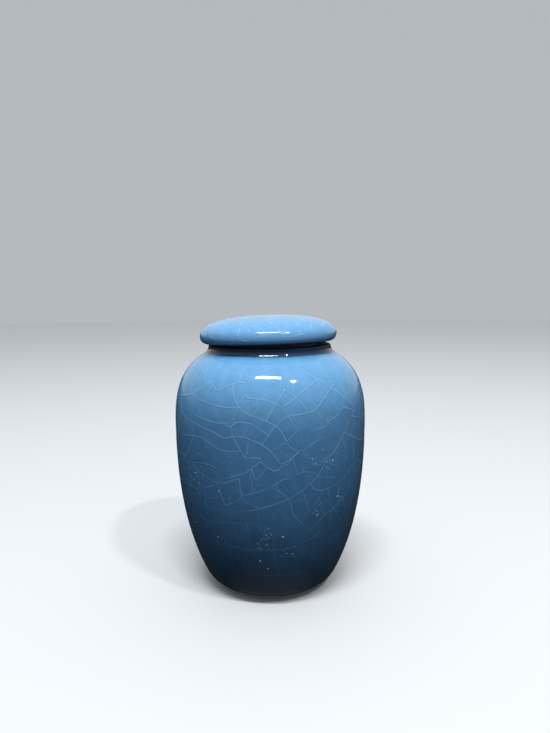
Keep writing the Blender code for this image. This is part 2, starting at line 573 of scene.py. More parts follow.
@dataclass
class LidForm:
    """Sizes of the turned lid, whose heights are from its flat seat, and how it rests on the rim.

    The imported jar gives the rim's height. The lid has slid a little to one side and sits askew.
    """

    rim_z: float
    rim_r: float
    radius: float = 27.9 * MM
    rise: float = 8.15 * MM
    power: float = 2.4
    edge: float = 2.7 * MM
    wall: float = 3.8 * MM
    ring_depth: float = 5.0 * MM
    ring_r: float = 19.1 * MM
    ring_wall: float = 3.4 * MM
    ring_round: float = 0.8 * MM
    touch_gap: float = 0.3 * MM
    slide: float = -0.517 * MM
    tilt: float = math.radians(1.3)
    fine: float = 0.6 * MM

    @property
    def pose(self) -> Pose:
        """Its low side clears the rim by the touch gap."""
        seat_z = self.rim_z + self.touch_gap + self.rim_r * math.sin(self.tilt)
        return Pose(self.slide, seat_z, self.tilt)

    def glazed(self) -> Array:
        """The glazed outside from the top's middle over the edge to the seat's outer end."""
        top = superellipse(np.linspace(math.pi / 2, 0, 160), self.radius, self.rise, self.power)
        top[0, 0] = 0.0
        under = arc((self.radius - self.edge, self.edge), self.edge, 0, -90, 24)
        return evenly(np.concatenate([np.array([0, self.edge]) + top, under[1:]]), self.fine / 4)

    def hidden(self) -> Array:
        """The bare seat, the locating ring and the hollow, up to the middle of its ceiling."""
        low = self.ring_round - self.ring_depth
        inner = self.ring_r - self.ring_wall
        ceiling = superellipse(
            np.linspace(0, math.pi / 2, 14), inner, self.rise - self.wall, self.power
        )
        ceiling[-1, 0] = 0.0
        return np.concatenate(
            [
                [(self.ring_r + 1 * MM, 0.0), (self.ring_r, 0.0)],
                arc((self.ring_r - self.ring_round, low), self.ring_round, 0, -90, 5),
                arc((inner + self.ring_round, low), self.ring_round, -90, -180, 5),
                np.array([0, self.edge]) + ceiling,
            ]
        )


@dataclass(frozen=True)
class PhotoCamera:
    """The camera of the photograph, in the urn's own frame."""

    wide_px: int = 550
    high_px: int = 733
    focal_px: float = 551.0
    pitch: float = math.radians(7.03)
    roll: float = math.radians(0.4155)
    place: tuple[float, float, float] = (0.0021, -0.226, 0.117)
    sensor_mm: float = 36.0

    def matrix(self) -> Matrix:
        """The camera's place and turn: it looks along +Y, tilted down and turned a little clockwise."""
        tilt = Matrix.Rotation(math.pi / 2 - self.pitch, 4, "X")
        return Matrix.Translation(self.place) @ tilt @ Matrix.Rotation(-self.roll, 4, "Z")

    def build(self) -> bpy.types.Object:
        """Makes the scene's camera.

        Returns:
            The camera object, set as the scene's own.
        """
        data = bpy.data.cameras.new("photo_camera")
        data.sensor_fit = "VERTICAL"
        data.sensor_height = self.sensor_mm
        data.lens = self.focal_px / self.high_px * self.sensor_mm
        data.clip_start = 0.01
        made = bpy.data.objects.new("photo_camera", data)
        made.matrix_world = self.matrix()
        bpy.context.scene.collection.objects.link(made)
        bpy.context.scene.camera = made
        return made

    def land(self, pixels: Array, surface: TurnedSurface) -> Array:
        """Where the sight lines of some pixels first meet a turned surface.

        Each sight line is walked in small steps. The first step whose distance from the axis is less
        than the outline's radius at that height is on the surface.

        Args:
            pixels: Columns and rows in the photograph, one pixel a row.
            surface: The turned surface.

        Returns:
            The chart's places.
        """
        lens = np.stack(
            [
                (pixels[:, 0] - self.wide_px / 2) / self.focal_px,
                (self.high_px / 2 - pixels[:, 1]) / self.focal_px,
                -np.ones(len(pixels)),
            ],
            1,
        )
        rays = unit(lens @ np.array(self.matrix().to_3x3()).T)
        walk = np.arange(0.12, 0.30, 0.05 * MM)
        path = surface.pose.unplaced(np.array(self.place) + rays[:, None] * walk[None, :, None])
        from_axis = np.hypot(path[..., 0], path[..., 1])
        order = np.argsort(surface.outline[:, 1])
        heights = surface.outline[order, 1]
        radius = np.interp(path[..., 2], heights, surface.outline[order, 0], left=0, right=0)
        first = np.argmax(radius >= from_axis, axis=1)
        met = path[np.arange(len(pixels)), first]
        angle = np.arctan2(met[:, 0], -met[:, 1])
        return surface.place_of(angle, np.interp(met[:, 2], heights, surface.along[order]))


@dataclass(frozen=True)
class Vein:
    """How a kind of crack looks: half its width, how clear it is, and how much it wanders."""

    half_width: float
    clear: float
    wander: float


class CrackRank(Enum):
    """The kinds of crack in the glaze, oldest first."""

    MAIN = Vein(0.38 * MM, 1.0, 0.010)
    CROSS = Vein(0.32 * MM, 0.82, 0.014)
    FINE = Vein(0.24 * MM, 0.50, 0.030)
    HAIR = Vein(0.20 * MM, 0.55, 0.008)


@dataclass
class Crack:
    """One crack: its path over the chart, its kind, and whether each end fades out."""

    path: Array
    rank: CrackRank
    fades: tuple[bool, bool] = (False, False)


# The main cracks of the jar's front, drawn over the photograph, in its own pixels.
FRONT_CRACKS: tuple[tuple[Pixel, ...], ...] = (
    ((191, 393.5), (200.5, 400), (212, 404.5), (225, 407.5), (234, 408), (239, 406.5)),
    (
        (232.5, 384.5), (234, 396.5), (237.5, 405), (242.5, 411), (251.5, 416), (269.5, 423),
        (278.5, 428.5), (283, 435.5), (286.5, 441.5),
    ),
    ((239, 404), (245.5, 394), (248, 398), (259.5, 399), (268, 401), (276, 404.5), (281, 407.5)),
    ((284, 390.5), (276, 404), (269.5, 415)),
    (
        (336, 380), (328, 393), (317.5, 408), (311.5, 412), (301.5, 414.5), (290, 416),
        (283, 419.5), (278.5, 424), (277, 427),
    ),
    ((273.5, 381.5), (291, 394), (299, 400.5), (305, 408)),
    ((311.5, 384), (302.5, 391.5), (295, 398.5), (283, 407)),
    ((202, 418.5), (212, 422), (221, 423.5), (227.5, 423)),
    (
        (226, 425.5), (230, 427.5), (235, 423.5), (242.5, 422.5), (250.5, 424), (258, 428.5),
        (265, 433.5),
    ),
    (
        (192.5, 422), (212, 432), (223.5, 438), (234, 437), (244, 437.5), (254, 441.5),
        (263, 446), (271, 452), (277, 459), (280, 464.5),
    ),
    ((274, 425.5), (271, 432), (263.5, 442.5)),
    ((184, 434.5), (198, 436.5), (207, 441.5), (217, 448.5), (227.5, 451.5), (237.5, 451.5)),
    ((231, 426.5), (232.5, 436.5), (236.5, 444), (245.5, 459)),
    ((366.5, 404), (355, 408), (343.5, 407.5), (337, 416), (327, 422)),
    ((314, 443.5), (309, 447), (299, 451.5), (291, 448), (287, 443.5)),
    ((245.5, 459), (251.5, 458), (259.5, 458.5), (261.5, 460.5)),
    ((299, 451.5), (292.5, 458), (285, 463), (280, 464.5)),
    ((344.5, 432.5), (334.5, 451.5), (328, 457.5)),
    ((177.5, 395), (188, 395), (195.5, 391.5), (203, 387), (208.5, 382.5)),
    ((211.5, 381.5), (214, 387), (217, 390.5), (225, 386.5), (232.5, 384)),
    ((232.5, 384), (241.5, 382.5), (251.5, 384)),
    ((294.5, 377.5), (304, 371), (314, 366), (320.5, 361)),
    ((260.5, 462), (267, 467), (275, 471.5), (282, 466.5), (288.5, 464), (293, 457), (299, 452.5)),
    ((260, 462), (251.5, 469), (241.5, 475), (231, 477)),
    ((202, 474), (212, 480.5), (222.5, 483.5), (234, 480), (239, 478.5)),
    ((265, 470.5), (256.5, 480), (253, 474)),
    (
        (322, 469), (316.5, 477.5), (301.5, 491), (290, 498.5), (276, 504), (265.5, 507.5),
        (253, 510.5), (239, 511.5), (223.5, 510), (209.5, 508.5),
    ),
    ((239, 478.5), (240, 487), (241.5, 497), (234, 502.5), (225, 506)),
    ((218, 487), (221, 494.5), (225, 506)),
    ((242.5, 494), (243.5, 500.5), (251.5, 505), (258, 507.5)),
    ((282, 494), (288, 498), (291, 506), (293.5, 514.5), (299.5, 521.5), (306, 526.5)),
    ((310.5, 484), (313, 488.5), (320, 490.5), (327.5, 488.5)),
    ((241.5, 496), (251.5, 494), (262, 491), (264.5, 489.5)),
    ((213.5, 522), (227.5, 523), (246.5, 524), (262, 526.5)),
)
# More of the main ones, which stop where they stop here.
FRONT_ENDED: tuple[tuple[Pixel, ...], ...] = (
    (
        (312, 424), (307.5, 425.5), (300, 428.5), (293, 435), (286.5, 441.5), (281, 446), (271, 452),
        (261, 460),
    ),
    ((329, 423.5), (326, 426.5), (318, 429), (311.5, 431.5)),
    ((189, 462), (200.5, 463), (211, 465.5), (220.5, 470.5), (227.5, 466)),
    ((259.5, 482), (264, 489.5), (272, 487), (281, 481), (291, 478.5), (301, 480.5)),
)
# Finer ones between them, drawn the same way.
FRONT_CROSSES: tuple[tuple[Pixel, ...], ...] = (
    ((227.5, 466), (230, 474), (232.5, 477)),
    ((193, 452.5), (200, 454.5), (206.5, 456.5)),
    ((225, 456), (230, 456.8), (235, 457.3)),
    ((225, 462), (230, 462.7), (236, 463)),
    ((199, 489), (205, 488), (212, 486), (218, 483.5)),
    ((224, 489), (228, 495), (231, 504)),
    ((233, 480), (238, 489), (241.5, 496)),
    ((254, 493), (256, 487), (260, 483)),
    ((282.5, 407), (285, 411), (287.5, 416)),
    ((289, 416), (292, 423), (296, 428)),
    ((317, 407.5), (320.5, 403), (321.8, 397)),
    ((316, 408), (313.5, 403.5), (310, 398), (308, 393)),
    ((327, 419), (331, 416.5), (335, 420), (340, 425)),
    ((342, 409), (343.5, 403), (342.5, 399)),
    ((303, 453), (307, 456), (311, 458)),
    ((312, 464), (314, 460), (318, 456), (321, 454)),
    ((313, 465), (317, 464), (320, 465), (322, 463), (325, 457.5)),
    ((292, 458.5), (295, 464), (296, 469), (297, 475)),
    ((300, 474), (302.5, 472), (308, 472), (314, 473), (317.5, 475)),
    ((346, 458), (340, 464), (337, 470), (336, 476)),
    ((317, 449.6), (322, 449.3), (327, 449)),
    ((272, 500), (277, 497), (284, 496), (287.5, 499)),
    ((277, 508), (282, 513), (286, 516)),
    ((248, 441), (247.5, 448), (247, 455)),
    ((205, 441), (206, 446), (209.5, 452), (210, 458)),
    ((203, 487), (203.5, 481), (202, 474)),
    ((195, 405), (199, 411), (201.5, 418)),
    ((256, 400), (258, 407), (256, 412), (252, 416)),
    ((238, 408), (234, 414), (233, 422)),
    ((214, 405), (216, 413), (221, 423)),
    ((252, 469), (250, 477), (252, 485), (251.5, 494)),
    ((276, 484), (279, 491), (282, 494)),
    ((228, 478), (221, 478), (214, 473), (210, 465.5)),
)
# Sheaves of hairlines at the jar's front, in the same pixels: the left, top, right and bottom of each,
# and how many lines it has.
FRONT_COMBS: tuple[tuple[int, int, int, int, int], ...] = (
    (202, 379, 213, 393, 5), (218, 388, 230, 400, 5), (241, 425, 254, 445, 6),
    (246, 445, 254, 455, 4), (289, 452, 300, 462, 4), (226, 470, 238, 480, 4),
)
LID_CRACKS: tuple[tuple[Pixel, ...], ...] = (
    ((222.5, 341), (222.9, 335), (225, 330.8), (226, 327)),
    ((237.5, 336), (240, 338), (241.7, 340.8), (243.3, 341.5), (247.5, 339.4), (252, 338.4)),
    (
        (284, 340.8), (287.5, 337.2), (292.5, 336.6), (297.5, 335.5), (301.7, 334.3), (306.5, 336.7),
        (310, 338),
    ),
    ((240, 326.5), (239.2, 331.7), (237.5, 336)),
    ((298.5, 327), (299.3, 330.8), (301.5, 334.2)),
    ((207, 336), (210, 338), (215, 338.8), (219.5, 339.2)),
    ((251, 327), (248, 331), (246.5, 335)),
    ((313, 324), (311, 328.5), (313, 333)),
)


@dataclass
class CrackleGrowth:
    """Grows the crackle of one surface, as cracks open in cooling glaze.

    A new crack opens where the glaze is furthest from every other, runs both ways with a slight
    wander, turns square to an older crack as it nears it, and ends there.
    """

    surface: TurnedSurface
    low: float
    high: float
    seed: int
    step: float = 0.7 * MM
    # From this near, a crack turns towards the one that it is about to meet.
    pull: float = 1.7 * MM
    # Cells wider than this are split by long slanting cracks, and smaller ones the short way.
    wide_room: float = 7.0 * MM
    shortest: float = 2.4 * MM
    # How far a cell's middle looks for the cracks around it.
    look: float = 16 * MM
    # The longest that a crack gets each way: a slanting one, from and to, and a short one.
    slant_most: tuple[float, float] = (22 * MM, 60 * MM)
    short_most: float = 26 * MM
    tries: int = 2500
    # Boxes of the chart that no crack enters: low and high corner.
    calm: list[Array] = field(default_factory=list)
    cracks: list[Crack] = field(default_factory=list)
    hairs: list[Crack] = field(default_factory=list)

    def __post_init__(self) -> None:
        """Lays the sites over the surface at which its room is measured."""
        self.random = np.random.default_rng(self.seed)
        self.places = np.empty((0, 2))
        self.spots = np.empty((0, 3))
        self.owners = np.empty(0, int)
        rows = np.arange(self.low + 1 * MM, self.high - 1 * MM, 1.5 * MM)
        sites = []
        for row in rows:
            count = max(4, round(math.tau * float(self.surface.radius_at(row)) / (1.5 * MM)))
            angles = (np.arange(count) + self.random.uniform()) / count * math.tau - math.pi
            sites.append(self.surface.place_of(angles, np.full(count, row)))
        self.sites = np.concatenate(sites)
        self.site_spots = self.surface.spots(self.sites)
        self.room = np.full(len(self.sites), np.inf)
        # Cells differ in size from place to place, in slow patches.
        patches = GlazeRelief(depth=1.0, wavelengths=(30 * MM, 18 * MM), seed=self.seed + 1)
        self.patch = patches.at(self.site_spots)

    def add(self, crack: Crack) -> None:
        """Keeps a crack.

        Args:
            crack: The crack, its path evenly stepped.
        """
        self.count(crack.path, len(self.cracks))
        self.cracks.append(crack)

    def inside(self, place: Array) -> bool:
        """Whether a place lies on the part of the outside that cracks."""
        along = self.surface.polar(place[None])[1][0]
        return self.low < along < self.high

    def is_calm(self, place: Array) -> bool:
        """Whether a place lies in a box that stays free of cracks."""
        return any((low < place).all() and (place < high).all() for low, high in self.calm)

    def run(
        self,
        start: Array,
        heading: float,
        wander: float,
        most: float,
        skip: int = -1,
        bend: float = 0.0,
    ) -> tuple[Array, bool, int]:
        """Runs one end of a crack.

        Args:
            start: Where it starts.
            heading: Which way it goes, an angle in the chart.
            wander: How much its heading changes at random, in radians a step.
            most: The longest that it gets.
            skip: A crack that it doesn't meet, because it starts on that one.
            bend: How much its heading changes steadily, in radians a step.

        Returns:
            The path after the start, whether it ended on another crack or off the glazed part, and
            which crack it met, or -1.
        """
        path, place, curl = [start], start, 0.0
        others = self.owners != skip
        places, spots, owners = self.places[others], self.spots[others], self.owners[others]
        for _ in range(int(most / self.step)):
            curl = 0.86 * curl + self.random.normal(0, wander)
            heading += curl + bend
            place = self.surface.shift(place[None], heading, self.step)[0]
            if not self.inside(place):
                return np.array([*path[1:], place]), True, -1
            if self.is_calm(place):
                break
            if len(spots):
                gaps = np.linalg.norm(spots - self.surface.spots(place[None]), axis=1)
                near = int(gaps.argmin())
                toward = self.surface.offsets(place, places[near : near + 1])[0]
                if gaps[near] < 1.1 * self.step:
                    met = self.surface.same_turn(place, places[near])
                    return np.array([*path[1:], place, met]), True, int(owners[near])
                turn = (math.atan2(toward[1], toward[0]) - heading + math.pi) % math.tau - math.pi
                if gaps[near] < self.pull and abs(turn) < 1.1:
                    heading += turn * 0.14
            path.append(place)
        return np.array(path[1:]).reshape(-1, 2), False, -1

    def keep_calm(self, corners: tuple[Pixel, Pixel], camera: PhotoCamera) -> None:
        """Keeps a box of the chart free of cracks.

        Args:
            corners: The box's left top and right bottom, in the photograph's pixels.
            camera: The photograph's camera.
        """
        places = camera.land(np.array(corners, float), self.surface)
        self.calm.append(np.stack([places.min(0), places.max(0)]))

    def draw(
        self,
        pixel_lines: tuple[tuple[Pixel, ...], ...],
        camera: PhotoCamera,
        rank: CrackRank = CrackRank.MAIN,
        longest: float = 0.0,
    ) -> None:
        """Lays the cracks drawn over the photograph onto the surface, then settles their ends.

        Args:
            pixel_lines: The drawn lines, in the photograph's pixels.
            camera: The photograph's camera.
            rank: How wide and pale they are.
            longest: How far a loose end runs on at most.
        """
        first = len(self.cracks)
        for line in pixel_lines:
            knots = camera.land(np.array(line, float), self.surface)
            self.add(Crack(smooth_through(knots, self.step), rank))
        for index in range(first, len(self.cracks)):
            for end in (0, -1):
                self.run_on(index, end, longest)

    def draw_combs(
        self, boxes: tuple[tuple[int, int, int, int, int], ...], camera: PhotoCamera
    ) -> None:
        """Lays sheaves of near-upright hairlines onto the surface.

        Args:
            boxes: Left, top, right, bottom and number of lines of each sheaf, in pixels.
            camera: The photograph's camera.
        """
        for left, top, right, bottom, count in boxes:
            for column in np.linspace(left, right, count):
                ends = self.random.uniform(-0.2, 0.2, 2) * (bottom - top)
                line = [(column, top + ends[0]), (column + 1.2, (top + bottom) / 2)]
                line.append((column + self.random.uniform(0.5, 3), bottom + ends[1]))
                knots = camera.land(np.array(line), self.surface)
                self.hairs.append(
                    Crack(smooth_through(knots, self.step), CrackRank.HAIR, (True, True))
                )

    def run_on(self, index: int, end: int, longest: float) -> None:
        """Joins an end of a drawn crack to a near one, or else lengthens it until it meets one.

        Args:
            index: Which crack.
            end: 0 for its first point, -1 for its last.
            longest: How far it runs on at most.
        """
        crack = self.cracks[index]
        path = crack.path if end else crack.path[::-1]
        tip = path[-1]
        others = self.owners != index
        gaps = np.linalg.norm(
            self.spots[others] - self.surface.spots(tip[None]), axis=1
        )
        if gaps.min() < 2.0 * self.step:
            joined = self.surface.same_turn(tip, self.places[others][gaps.argmin()])
            extra, met = joined[None], True
        elif not longest:
            extra, met = path[:0], False
        else:
            back = self.surface.offsets(path[-4], tip[None])[0]
            most = self.random.uniform(0.27, 1.0) * longest
            extra, met, _ = self.run(tip, math.atan2(back[1], back[0]), 0.02, most, index)
        longer = np.concatenate([path, extra])
        longer = longer if end else longer[::-1]
        fades = list(crack.fades)
        fades[end] = not met
        self.cracks[index] = Crack(longer, crack.rank, (fades[0], fades[1]))
        if len(extra):
            self.count(extra, index)

    def count(self, path: Array, index: int) -> None:
        """Counts places in as cracked, and measures the room that they leave.

        Args:
            path: The places.
            index: The crack that they belong to.
        """
        spots = self.surface.spots(path)
        self.places = np.concatenate([self.places, path])
        self.spots = np.concatenate([self.spots, spots])
        self.owners = np.concatenate([self.owners, np.full(len(spots), index)])
        gaps = np.linalg.norm(self.site_spots[:, None] - spots[None], axis=2).min(1)
        self.room = np.minimum(self.room, gaps)

    def slant(self, place: Array) -> float:
        """The long cracks' usual heading: it falls towards the front's middle and rises away from it.

        Args:
            place: A place in the chart.

        Returns:
            An angle in the chart, in radians.
        """
        angle = self.surface.polar(place[None])[0][0]
        return math.radians(30) * math.sin(3 * angle) + self.random.normal(0, 0.22)

    def short_way(self, place: Array) -> float:
        """The heading that splits a cell the short way.

        For each of some headings, the nearest crack within a narrow fan is found ahead and behind. The
        heading with the least sum of the two is taken.

        Args:
            place: The middle of the cell.

        Returns:
            An angle in the chart, in radians.
        """
        offsets = self.surface.offsets(place, self.places)
        gaps = np.hypot(*offsets.T)
        close = gaps < self.look
        offsets, gaps = offsets[close], gaps[close]
        bearing = np.arctan2(offsets[:, 1], offsets[:, 0])
        best, found = math.inf, 0.0
        for heading in np.linspace(0, math.pi, 12, endpoint=False) + self.random.uniform(0, 0.2):
            total = self.random.uniform(0, 2 * MM)
            for way in (heading, heading + math.pi):
                fan = np.abs((bearing - way + math.pi) % math.tau - math.pi) < 0.2
                total += gaps[fan].min() if fan.any() else self.look
            if total < best:
                best, found = total, float(heading)
        return found

    def fill(
        self, least_room: float, most_room: float, small: CrackRank = CrackRank.CROSS
    ) -> None:
        """Opens new cracks until no cell is roomier than its patch of the surface allows.

        Args:
            least_room: The room below which no cell is split, where the crackle is closest.
            most_room: The same where it is widest.
            small: The kind of crack that splits the smaller cells.
        """
        limit = least_room + (most_room - least_room) * self.patch
        for _ in range(self.tries):
            spare = self.room / limit
            site = int(spare.argmax())
            if spare[site] < 1:
                return
            place, wide = self.sites[site], self.room[site] > self.wide_room
            self.room[site] = 0.0
            if self.is_calm(place):
                continue
            rank = CrackRank.MAIN if wide else small
            heading = self.slant(place) if wide else self.short_way(place)
            most = self.random.uniform(*self.slant_most) if wide else self.short_most
            wander, bend = rank.value.wander, self.random.normal(0, 0.012)
            ahead, met_ahead, first = self.run(place, heading, wander, most, bend=bend)
            behind, met_behind, last = self.run(place, heading + math.pi, wander, most, bend=-bend)
            path = np.concatenate([behind[::-1], place[None], ahead])
            length = self.step * (len(path) - 1)
            across = np.linalg.norm(self.surface.offsets(path[0], path[-1:])[0])
            if length < self.shortest or (first == last >= 0 and across < 0.8 * length):
                continue
            self.add(Crack(path, rank, (not met_behind, not met_ahead)))

    def comb(self, count: int) -> None:
        """Adds sheaves of faint hairlines that hang from older cracks, side by side.

        Args:
            count: Number of sheaves.
        """
        old = len(self.spots)
        for _ in range(count):
            root = int(self.random.integers(old))
            crack = self.owners[root]
            heading = -math.pi / 2 + self.random.normal(0, 0.3)
            apart = self.random.uniform(0.9, 1.5) * MM
            length = self.random.uniform(4, 9) * MM
            for number in range(int(self.random.integers(3, 7))):
                near = min(root + round(number * apart / self.step), old - 1)
                if self.owners[near] != crack:
                    break
                start = self.places[near]
                path, met, _ = self.run(
                    start,
                    heading + self.random.normal(0, 0.06),
                    CrackRank.HAIR.value.wander,
                    length * self.random.uniform(0.5, 1),
                    int(crack),
                )
                if len(path) > 2:
                    path = np.concatenate([start[None], path])
                    self.hairs.append(Crack(path, CrackRank.HAIR, (False, not met)))


@dataclass
class MeshParts:
    """Collects closed shells and their values at each vertex, and makes one mesh of them."""

    vertices: list[Array] = field(default_factory=list)
    faces: list[Array] = field(default_factory=list)
    smooth: list[Array] = field(default_factory=list)
    values: dict[str, list[Array]] = field(default_factory=dict)
    total: int = 0

    def add(
        self, vertices: Array, faces: list[Array], smooth: bool = True, **values: Array
    ) -> None:
        """Adds a shell.

        Args:
            vertices: Its vertices, one a row.
            faces: Arrays of faces, each with one number of corners.
            smooth: Whether its faces are shaded as one smooth surface.
            values: What its vertices hold, by the attribute's name.
        """
        self.faces += [part + self.total for part in faces]
        self.smooth += [np.full(len(part), smooth) for part in faces]
        for name in {*self.values, *values}:
            missing = [np.zeros(self.total)] if name not in self.values and self.total else []
            held = values.get(name, np.zeros(len(vertices)))
            self.values.setdefault(name, missing).append(held)
        self.vertices.append(vertices)
        self.total += len(vertices)

    def build(self, name: str) -> bpy.types.Object:
        """Makes the object.

        Args:
            name: The object's name.

        Returns:
            A mesh object at the origin, with sharp edges where faces fold.
        """
        corners = np.concatenate([part.reshape(-1) for part in self.faces])
        sizes = np.concatenate([np.full(len(part), part.shape[1]) for part in self.faces])
        mesh = bpy.data.meshes.new(name)
        mesh.vertices.add(self.total)
        mesh.vertices.foreach_set("co", np.concatenate(self.vertices).astype(np.float32).ravel())
        mesh.loops.add(len(corners))
        mesh.loops.foreach_set("vertex_index", corners.astype(np.int32))
        mesh.polygons.add(len(sizes))
        starts = np.concatenate([[0], np.cumsum(sizes)[:-1]])
        mesh.polygons.foreach_set("loop_start", starts.astype(np.int32))
        mesh.update(calc_edges=True)
        for label, parts in self.values.items():
            layer = mesh.attributes.new(label, "FLOAT", "POINT")
            layer.data.foreach_set("value", np.concatenate(parts).astype(np.float32))
        mesh.polygons.foreach_set("use_smooth", np.concatenate(self.smooth))
        mesh.set_sharp_from_angle(angle=math.radians(50))
        made = bpy.data.objects.new(name, mesh)
        bpy.context.scene.collection.objects.link(made)
        return made


def grid_faces(rows: int, columns: int) -> Array:
    """Quads of a grid whose columns close on themselves.

    Args:
        rows: Number of rows of vertices.
        columns: Number of vertices in a row.

    Returns:
        Corner numbers, one quad a row, turning from the row's direction to the column's.
    """
    row, column = np.meshgrid(np.arange(rows - 1), np.arange(columns), indexing="ij")
    here, beside = row * columns + column, row * columns + (column + 1) % columns
    return np.stack([here, here + columns, beside + columns, beside], 2).reshape(-1, 4)


@dataclass
class Skin:
    """A whole closed outline to be turned: its glazed stretch is uneven, and the rest is plain."""

    surface: TurnedSurface
    before: Array
    after: Array
    fine: float
    around: int
    # How bare of glaze each point of the first stretch is.
    bare: Array
    # From this far along the outline the colour is painted near-black shade: in the neck under the lid, and
    # under the lid's own edge.
    shade_from: float

    def build(self, parts: MeshParts) -> None:
        """Turns the outline about its axis.

        Row i and column j of the grid are the outline's point i, turned by j shares of a full turn. The
        first and last points lie on the axis, and are one vertex each, with a fan of triangles.

        Args:
            parts: Where the shell goes.
        """
        surface = self.surface
        glazed_count = round(surface.length / self.fine) + 1
        along = np.linspace(0, surface.length, glazed_count)
        if isinstance(surface, WallSurface):
            along = along[::-1]
        else:
            along = along[1:]
        angles = np.arange(self.around) / self.around * math.tau
        turn, reach = np.meshgrid(angles, along, indexing="xy")
        glazed = surface.spots(surface.place_of(turn.ravel(), reach.ravel()))
        before, after = (self.turned(line, angles) for line in (self.before, self.after))
        rings = np.concatenate([before, glazed, after])
        rows = len(rings) // self.around
        poles = [self.pole(0), self.pole(-1)]
        top, bottom = len(rings), len(rings) + 1
        column = np.arange(self.around)
        beside = (column + 1) % self.around
        last = (rows - 1) * self.around
        fans = [
            np.stack([np.full(self.around, top), column, beside], 1),
            np.stack([last + column, np.full(self.around, bottom), last + beside], 1),
        ]
        kept = self.bare[self.before[:, 0] > 1e-9] if len(self.before) else np.empty(0)
        bare = np.concatenate(
            [
                np.repeat(kept, self.around),
                np.zeros(len(glazed)),
                np.ones(len(after)),
                [kept[0] if len(kept) else 0.0, 1.0],
            ]
        )
        # A ring with any glaze lies on the rim, in the gap under the lid, and is painted as dark shade.
        painted_shade = np.where(kept < 1, -1.0, 0.0)
        thin = self.thinness(along, painted_shade, len(after) // self.around)
        parts.add(
            np.concatenate([rings, poles]),
            [grid_faces(rows, self.around), *fans],
            bare=bare,
            thin=np.concatenate([np.repeat(thin, self.around), [0.0, 0.0]]),
        )

    def thinness(self, along: Array, before: Array, after: int) -> Array:
        """How thin the glaze lies at each ring: thin over round edges, thick in hollows, and -1 where shade
        is painted.

        It is four times the outline's own bend, one over its radius in millimetres. It falls to -1, painted
        dark shade, within half a millimetre of where that shade begins.

        Args:
            along: Places of the glazed rings along the outline.
            before: Thinness of the rings before them.
            after: Number of rings after them.

        Returns:
            From -1, painted shade, to 1, thin.
        """
        line = self.surface.outline
        run = unit(np.gradient(line, axis=0))
        heading = np.unwrap(np.arctan2(run[:, 1], run[:, 0]))
        bend = np.gradient(heading) / np.gradient(self.surface.along) * self.surface.outward_sign
        kernel = np.hanning(25) / np.hanning(25).sum()
        bend = np.convolve(np.pad(bend, 12, mode="edge"), kernel, mode="valid")
        ring = np.clip(np.interp(along, self.surface.along, bend) * 4 * MM, -0.4, 1)
        # Past the shade's start the colour is painted shade, at -1.
        painted_shade = np.clip((along - self.shade_from) / (0.5 * MM), 0, 1)
        return np.concatenate([before, ring * (1 - painted_shade) - painted_shade, np.zeros(after)])

    def turned(self, line: Array, angles: Array) -> Array:
        """Turns a plain line, leaving out points on the axis.

        Args:
            line: Radius and height of its points.
            angles: The angles to turn it by.

        Returns:
            Ring after ring of places.
        """
        off_axis = line[line[:, 0] > 1e-9]
        radius, height = off_axis[:, :1], off_axis[:, 1:]
        own = [radius * np.sin(angles), -radius * np.cos(angles), np.repeat(height, len(angles), 1)]
        return self.surface.pose.placed(np.stack(own, 2).reshape(-1, 3))

    def pole(self, end: int) -> Array:
        """The place on the axis where the outline starts, for 0, or ends, for -1."""
        line = (self.before, self.after)[end]
        if len(line) and line[end, 0] <= 1e-9:
            return self.surface.pose.placed(np.array([0.0, 0.0, line[end, 1]]))
        return self.surface.spots(np.zeros((1, 2)))[0]


